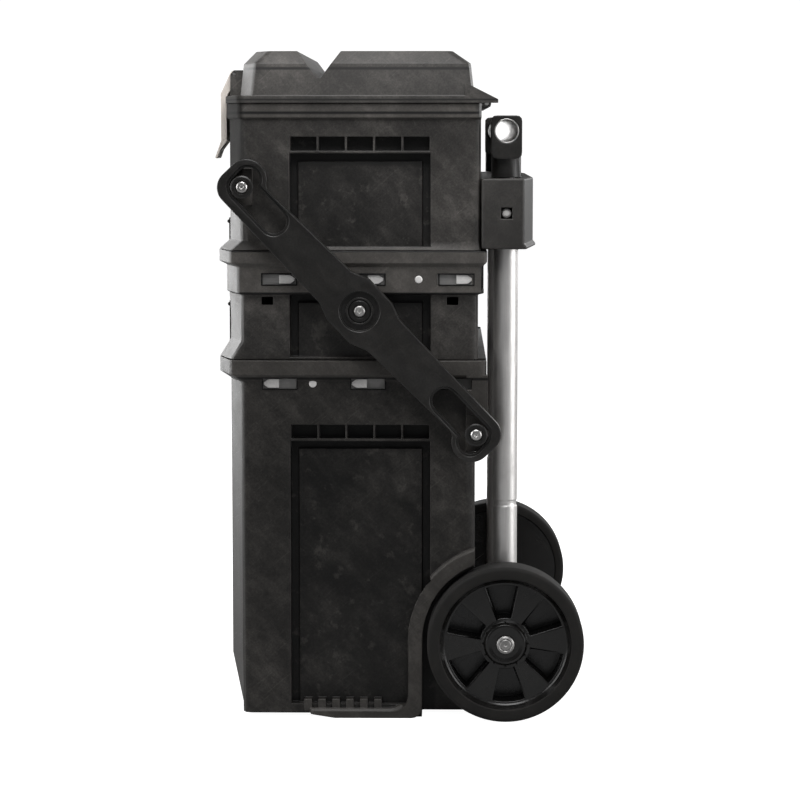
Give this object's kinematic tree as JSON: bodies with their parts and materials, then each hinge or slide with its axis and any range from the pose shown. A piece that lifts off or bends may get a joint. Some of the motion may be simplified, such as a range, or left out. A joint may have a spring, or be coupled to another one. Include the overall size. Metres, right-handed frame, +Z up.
{
  "type": "rolling toolbox",
  "caption": "Wheeled toolbox: deep bin, sliding tray and lidded upper box on steel slides, joined by slotted side levers, with a telescopic handle.",
  "frame": {"origin": "centre of the bounding box's base, on the floor", "axes": "+Z up, +Y to the rear (wheels and handle), +X to the right-hand side, which the picture shows"},
  "size_m": [0.568, 0.4136, 0.741],
  "materials": {
    "shell": "moulded, lightly scuffed",
    "lever": "moulded, satin",
    "housing": "moulded",
    "caps": "moulded, satin",
    "rim": "moulded",
    "tyre": "worn tread",
    "bush": "smooth",
    "latch": "silver grey, satin",
    "zinc": "zinc plated",
    "aluminium": "drawn tube",
    "bar": "black powder coat"
  },
  "bodies": {
    "bin": {"lower_bin": "shell", "bin_rail_right": "zinc", "bin_rail_left": "zinc", "lower_pivot_bolt_right": "zinc", "lower_pivot_bolt_left": "zinc", "tray_latch_pin": "zinc"},
    "lower_slides": {"bin_slide_middle_right": "zinc", "bin_slide_middle_left": "zinc"},
    "tray": {"middle_tray": "shell", "bin_runner_right": "zinc", "bin_runner_left": "zinc", "tray_rail_right": "zinc", "tray_rail_left": "zinc", "centre_pivot_bolt_right": "zinc", "centre_pivot_bolt_left": "zinc", "box_latch_pin": "zinc"},
    "upper_slides": {"tray_slide_middle_right": "zinc", "tray_slide_middle_left": "zinc"},
    "upper_box": {"upper_box": "shell", "tray_runner_right": "zinc", "tray_runner_left": "zinc", "upper_pivot_bolt_right": "zinc", "upper_pivot_bolt_left": "zinc", "handle_housing": "housing", "outer_tube_right": "aluminium", "outer_tube_left": "aluminium", "tube_foot_right": "caps", "tube_foot_left": "caps", "axle": "zinc", "axle_cap_right": "zinc", "axle_cap_left": "zinc", "lid_hinge_pin": "zinc"},
    "lid": {"lid": "shell", "lid_latch_pin_right": "zinc", "lid_latch_pin_left": "zinc"},
    "lid_latch_right": {"lid_latch_right": "latch"},
    "lid_latch_left": {"lid_latch_left": "latch"},
    "tray_latch": {"tray_latch": "shell"},
    "box_latch": {"box_latch": "shell"},
    "side_lever_right": {"side_lever_right": "lever"},
    "side_lever_left": {"side_lever_left": "lever"},
    "handle": {"inner_tube_right": "aluminium", "inner_tube_left": "aluminium", "handle_bracket_right": "caps", "handle_bracket_left": "caps", "handle_crossbar": "bar"},
    "lock_button_right": {"lock_button_right": "zinc"},
    "lock_button_left": {"lock_button_left": "zinc"},
    "wheel_right": {"wheel_rim_right": "rim", "tyre_right": "tyre", "wheel_bush_right": "bush"},
    "wheel_left": {"wheel_rim_left": "rim", "tyre_left": "tyre", "wheel_bush_left": "bush"}
  },
  "joints": [
    {"name": "tray_slide", "type": "slide", "parent": "bin", "child": "tray", "axis": [0, 1, 0], "range_m": [0, 0.256]},
    {"name": "top_slide", "type": "slide", "parent": "tray", "child": "upper_box", "axis": [0, 1, 0], "range_m": [0, 0.256]},
    {"name": "lower_middle_slide", "type": "slide", "parent": "bin", "child": "lower_slides", "axis": [0, 1, 0], "range_m": [0, 0.128]},
    {"name": "upper_middle_slide", "type": "slide", "parent": "tray", "child": "upper_slides", "axis": [0, 1, 0], "range_m": [0, 0.128]},
    {"name": "lever_right_pivot", "type": "hinge", "parent": "tray", "child": "side_lever_right", "pos_m": [0.265, -0.041, 0.4556], "axis": [-1, 0, 0], "range_deg": [0, 86.8]},
    {"name": "lever_left_pivot", "type": "hinge", "parent": "tray", "child": "side_lever_left", "pos_m": [-0.265, -0.041, 0.4556], "axis": [-1, 0, 0], "range_deg": [0, 86.8]},
    {"name": "lid_hinge", "type": "hinge", "parent": "upper_box", "child": "lid", "pos_m": [0, 0.0985, 0.68225], "axis": [-1, 0, 0], "range_deg": [0, 100]},
    {"name": "lid_latch_right_pivot", "type": "hinge", "parent": "lid", "child": "lid_latch_right", "pos_m": [0.15, -0.1845, 0.7155], "axis": [-1, 0, 0], "range_deg": [0, 100]},
    {"name": "lid_latch_left_pivot", "type": "hinge", "parent": "lid", "child": "lid_latch_left", "pos_m": [-0.15, -0.1845, 0.7155], "axis": [-1, 0, 0], "range_deg": [0, 100]},
    {"name": "tray_latch_pivot", "type": "hinge", "parent": "bin", "child": "tray_latch", "pos_m": [0, -0.2006, 0.391], "axis": [1, 0, 0], "range_deg": [0, 100]},
    {"name": "box_latch_pivot", "type": "hinge", "parent": "tray", "child": "box_latch", "pos_m": [0, -0.2006, 0.5145], "axis": [1, 0, 0], "range_deg": [0, 100]},
    {"name": "handle_slide", "type": "slide", "parent": "upper_box", "child": "handle", "axis": [0, 0, -1], "range_m": [-0.36, 0]},
    {"name": "lock_button_right_press", "type": "slide", "parent": "upper_box", "child": "lock_button_right", "axis": [-1, 0, 0], "range_m": [0, 0.004], "stiffness_N_per_m": 600, "springref_m": -0.002},
    {"name": "lock_button_left_press", "type": "slide", "parent": "upper_box", "child": "lock_button_left", "axis": [1, 0, 0], "range_m": [0, 0.004], "stiffness_N_per_m": 600, "springref_m": -0.002},
    {"name": "wheel_right_spin", "type": "hinge", "parent": "upper_box", "child": "wheel_right", "pos_m": [0.239, 0.12, 0.0868], "axis": [1, 0, 0], "continuous": true},
    {"name": "wheel_left_spin", "type": "hinge", "parent": "upper_box", "child": "wheel_left", "pos_m": [-0.239, 0.12, 0.0868], "axis": [1, 0, 0], "continuous": true}
  ],
  "couplings": [
    {"joint": "top_slide", "follows": "tray_slide", "ratio": 1},
    {"joint": "lower_middle_slide", "follows": "tray_slide", "ratio": 0.5},
    {"joint": "upper_middle_slide", "follows": "tray_slide", "ratio": 0.5},
    {"joint": "lever_right_pivot", "follows": "tray_slide", "rad_per_m": 5.9137},
    {"joint": "lever_left_pivot", "follows": "tray_slide", "rad_per_m": 5.9137}
  ]
}
